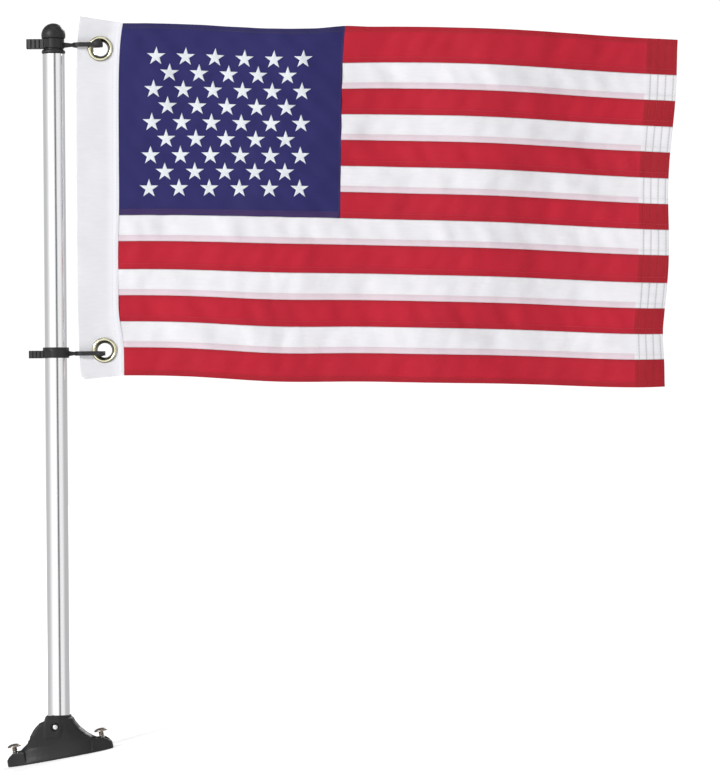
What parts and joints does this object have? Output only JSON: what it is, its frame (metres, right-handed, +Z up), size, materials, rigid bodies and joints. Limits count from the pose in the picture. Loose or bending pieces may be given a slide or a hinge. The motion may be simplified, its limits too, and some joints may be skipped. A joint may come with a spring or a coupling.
{
  "type": "fold-down flagpole with flag",
  "caption": "Short aluminium flagpole leaning in a black fold-down base, with a sewn striped flag held by two swivelling clips.",
  "frame": {"origin": "middle of the base's flat underside, on the deck plane", "axes": "+Z up from the deck, +X along the base towards the side where the flag flies, +Y horizontal and square to the flag; the pole leans 10 degrees from +Z towards +X"},
  "size_m": [0.6838, 0.0312, 0.6279],
  "materials": {
    "black_nylon": "fine moulded satin",
    "pole_aluminium": "bright drawn and anodised",
    "stainless_steel": "satin",
    "pin_steel": "polished",
    "grommet_brass": "polished",
    "header_canvas": "white woven canvas",
    "white_nylon": "white woven nylon",
    "red_nylon": "red woven nylon",
    "blue_nylon": "dark blue woven nylon"
  },
  "bodies": {
    "base": {"base_body": "black_nylon", "pivot_pin": "pin_steel"},
    "left_screw": {"mount_screw_left": "stainless_steel"},
    "right_screw": {"mount_screw_right": "stainless_steel"},
    "pole": {"pole_tube": "pole_aluminium", "foot_plug": "black_nylon", "top_cap": "black_nylon"},
    "upper_clip": {"upper_clip": "black_nylon"},
    "lower_clip": {"lower_clip": "black_nylon"},
    "flag": {"header": "header_canvas", "canton": "blue_nylon", "stripe_01": "red_nylon", "stripe_02": "white_nylon", "stripe_03": "red_nylon", "stripe_04": "white_nylon", "stripe_05": "red_nylon", "stripe_06": "white_nylon", "stripe_07": "red_nylon", "stripe_08": "white_nylon", "stripe_09": "red_nylon", "stripe_10": "white_nylon", "stripe_11": "red_nylon", "stripe_12": "white_nylon", "stripe_13": "red_nylon", "upper_grommet_eyelet": "grommet_brass", "upper_grommet_washer": "grommet_brass", "lower_grommet_eyelet": "grommet_brass", "lower_grommet_washer": "grommet_brass"}
  },
  "joints": [
    {"name": "pole_fold", "type": "hinge", "parent": "base", "child": "pole", "pos_m": [0.001, 0, 0.0273], "axis": [0, -1, 0], "range_deg": [0, 100]},
    {"name": "upper_clip_swivel", "type": "hinge", "parent": "pole", "child": "upper_clip", "pos_m": [0.10584, 0, 0.60863], "axis": [0.1736, 0, 0.9848], "continuous": true},
    {"name": "lower_clip_swivel", "type": "hinge", "parent": "pole", "child": "lower_clip", "pos_m": [0.05918, 0, 0.34401], "axis": [0.1736, 0, 0.9848], "continuous": true},
    {"name": "flag_swing", "type": "hinge", "parent": "upper_clip", "child": "flag", "pos_m": [0.14581, 0, 0.59691], "axis": [0.1736, 0, 0.9848], "range_deg": [-8, 8]},
    {"name": "left_screw_drive", "type": "slide", "parent": "base", "child": "left_screw", "axis": [0, 0, -1], "range_m": [0, 0.0078]},
    {"name": "right_screw_drive", "type": "slide", "parent": "base", "child": "right_screw", "axis": [0, 0, -1], "range_m": [0, 0.0078]}
  ],
  "couplings": [
    {"joint": "lower_clip_swivel", "follows": "upper_clip_swivel", "ratio": 1}
  ]
}
